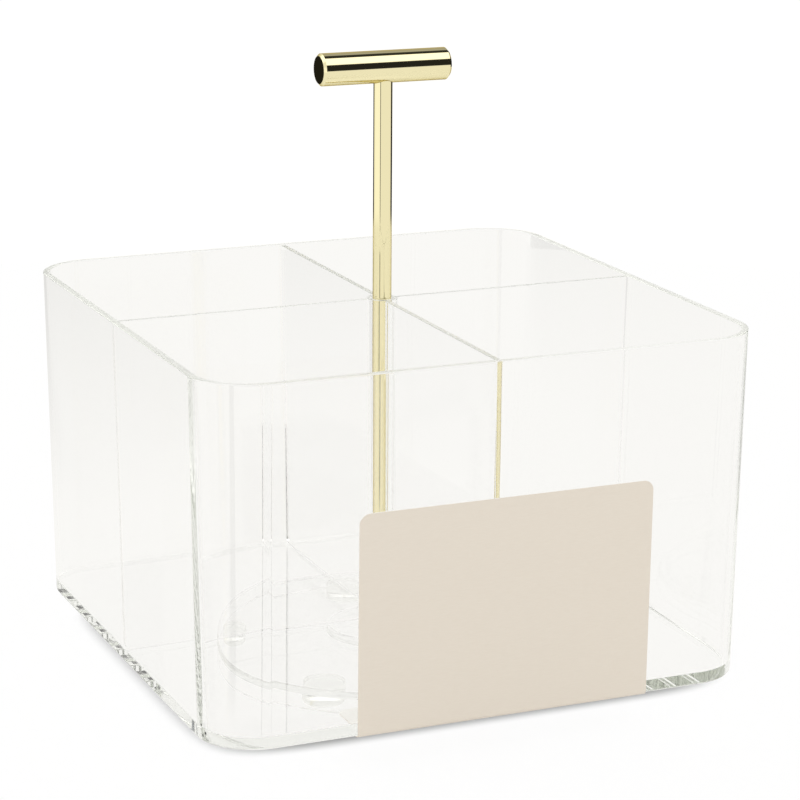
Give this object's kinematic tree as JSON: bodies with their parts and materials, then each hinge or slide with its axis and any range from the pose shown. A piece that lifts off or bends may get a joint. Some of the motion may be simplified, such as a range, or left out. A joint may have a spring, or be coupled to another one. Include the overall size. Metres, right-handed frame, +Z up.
{
  "type": "rotating desk organizer",
  "caption": "Clear square desk organizer with crossed dividers and a gold T-handle, turning freely on a low round dish with soft feet.",
  "frame": {"origin": "on the table, under the turning axis, at the middle of the part's footprint", "axes": "+Z up along the turning axis and the handle's rod; +X to the right along the handle's bar; the wall with the card faces -Y"},
  "size_m": [0.166, 0.166, 0.184],
  "materials": {
    "clear_plastic": "clear, polished as moulded",
    "gold_metal": "polished pale gold plating",
    "steel": "zinc-plated, satin",
    "bearing_plastic": "natural white acetal, satin",
    "soft_feet": "clear soft vinyl, semi-gloss",
    "card": "smooth uncoated card, matt"
  },
  "bodies": {
    "turntable": {"turntable_base": "clear_plastic", "thrust_washer": "bearing_plastic", "foot_1": "soft_feet", "foot_2": "soft_feet", "foot_3": "soft_feet", "foot_4": "soft_feet", "foot_5": "soft_feet"},
    "bin": {"bin_shell": "clear_plastic", "divider_front": "clear_plastic", "divider_right": "clear_plastic", "divider_rear": "clear_plastic", "divider_left": "clear_plastic", "centre_tube": "clear_plastic", "handle_rod": "gold_metal", "handle_bar": "gold_metal", "handle_stud": "steel", "pivot_screw": "steel", "clamp_washer": "steel", "pivot_bush": "bearing_plastic", "product_label": "card"}
  },
  "joints": [
    {"name": "bin_spin", "type": "hinge", "parent": "turntable", "child": "bin", "pos_m": [0, 0, 0], "axis": [0, 0, 1], "continuous": true}
  ]
}
